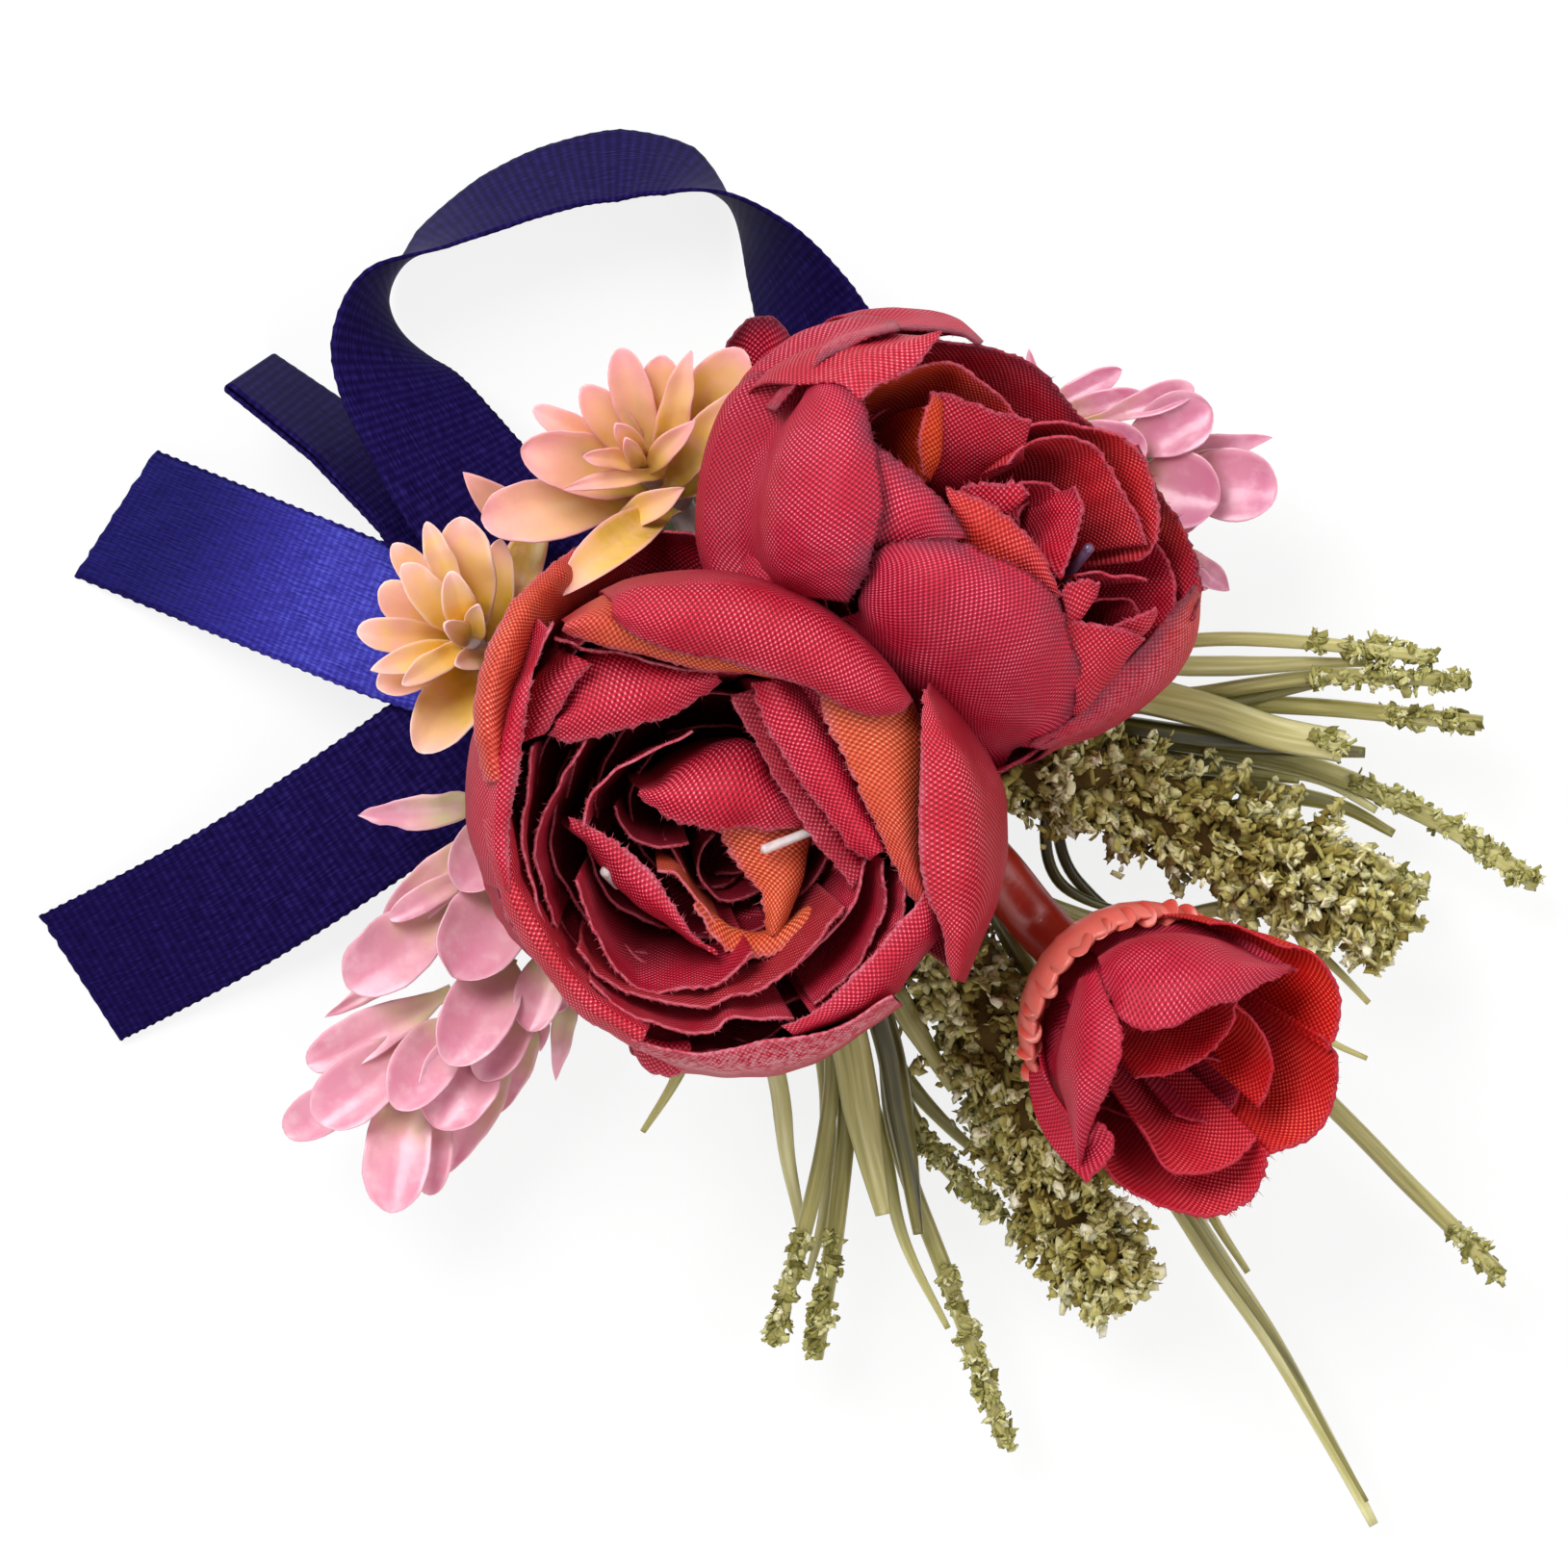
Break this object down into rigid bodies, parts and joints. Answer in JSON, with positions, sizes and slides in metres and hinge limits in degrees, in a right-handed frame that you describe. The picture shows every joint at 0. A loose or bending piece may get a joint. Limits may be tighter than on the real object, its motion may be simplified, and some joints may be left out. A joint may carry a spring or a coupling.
{
  "type": "pin-on corsage",
  "caption": "Pin-on corsage of layered fabric roses with a bud, plastic succulents, sedum sprigs and grasses, ribbon loop and tails, on a felt-backed brooch pin.",
  "frame": {"origin": "middle of the bounding box, on the plane that the pin's underside and the ribbon ends lie on", "axes": "+Z out of the flowers' faces, away from the wearer; +X to the right and +Y up as the front is seen in the picture"},
  "size_m": [0.1272, 0.1164, 0.0467],
  "materials": {
    "pin_steel": "nickel-plated stamped steel",
    "felt": "pressed craft felt, matte",
    "floral_tape": "waxed paper tape over hot glue",
    "green_plastic": "moulded soft plastic, satin",
    "clear_peg": "translucent moulded plastic",
    "rose_cloth": "plain-weave polyester, heat-set, frayed dark edges",
    "orange_cloth": "plain-weave polyester, dyed orange-red",
    "bud_cloth": "plain-weave polyester, deep red",
    "coral_plastic": "translucent moulded plastic",
    "peach_plastic": "soft moulded plastic, pink-tinted rims",
    "yellow_plastic": "soft moulded plastic, yellow heart",
    "pink_plastic": "soft moulded plastic, cream bases",
    "olive_plastic": "extruded soft plastic with glued crumbs",
    "foam_crumb": "stem rolled in foam crumb",
    "navy_satin": "half-inch single-face satin ribbon"
  },
  "bodies": {
    "corsage": {"pin_bar": "pin_steel", "pin_rivet": "pin_steel", "felt_backing": "felt", "stem_hub": "floral_tape", "rose_a_calyx": "green_plastic", "rose_a_peg": "clear_peg", "rose_a_petals_1": "rose_cloth", "rose_a_petals_2": "rose_cloth", "rose_a_petals_3": "rose_cloth", "rose_a_petals_4": "rose_cloth", "rose_a_petals_5": "orange_cloth", "rose_a_petals_6": "orange_cloth", "rose_a_heart": "orange_cloth", "rose_b_calyx": "green_plastic", "rose_b_peg": "clear_peg", "rose_b_petals_1": "rose_cloth", "rose_b_petals_2": "rose_cloth", "rose_b_petals_3": "rose_cloth", "rose_b_petals_4": "rose_cloth", "rose_b_petals_5": "rose_cloth", "rose_b_heart": "rose_cloth", "bud_stem": "coral_plastic", "bud_calyx": "coral_plastic", "bud_petals_1": "rose_cloth", "bud_petals_2": "bud_cloth", "bud_heart": "bud_cloth", "succulent_large_peg": "clear_peg", "succulent_large_tier_1": "peach_plastic", "succulent_large_tier_2": "peach_plastic", "succulent_large_tier_3": "peach_plastic", "succulent_small_peg": "clear_peg", "succulent_small_tier_1": "yellow_plastic", "succulent_small_tier_2": "yellow_plastic", "succulent_small_tier_3": "yellow_plastic", "pink_sprig_left_stem": "green_plastic", "pink_sprig_left_whorl_1": "pink_plastic", "pink_sprig_left_whorl_2": "pink_plastic", "pink_sprig_left_whorl_3": "pink_plastic", "pink_sprig_left_whorl_4": "pink_plastic", "pink_sprig_left_whorl_5": "pink_plastic", "pink_sprig_right_stem": "green_plastic", "pink_sprig_right_whorl_1": "pink_plastic", "pink_sprig_right_whorl_2": "pink_plastic", "pink_sprig_right_whorl_3": "pink_plastic", "pink_sprig_right_whorl_4": "pink_plastic", "grass_right": "olive_plastic", "grass_lower": "olive_plastic", "grass_corner": "olive_plastic", "plume_right": "foam_crumb", "plume_lower": "foam_crumb", "ribbon_tail_lower": "navy_satin", "ribbon_tail_upper": "navy_satin", "ribbon_loop": "navy_satin", "ribbon_fold": "navy_satin"},
    "pin_arm": {"pin_arm": "pin_steel"},
    "catch_rotor": {"catch_rotor": "pin_steel"}
  },
  "joints": [
    {"name": "pin_arm_swing", "type": "hinge", "parent": "corsage", "child": "pin_arm", "pos_m": [-0.01777, 0.01386, 0.00222], "axis": [0, 1, 0], "range_deg": [0, 70]},
    {"name": "catch_turn", "type": "hinge", "parent": "corsage", "child": "catch_rotor", "pos_m": [0.01403, 0.01386, 0.00222], "axis": [1, 0, 0], "range_deg": [0, 90]}
  ]
}
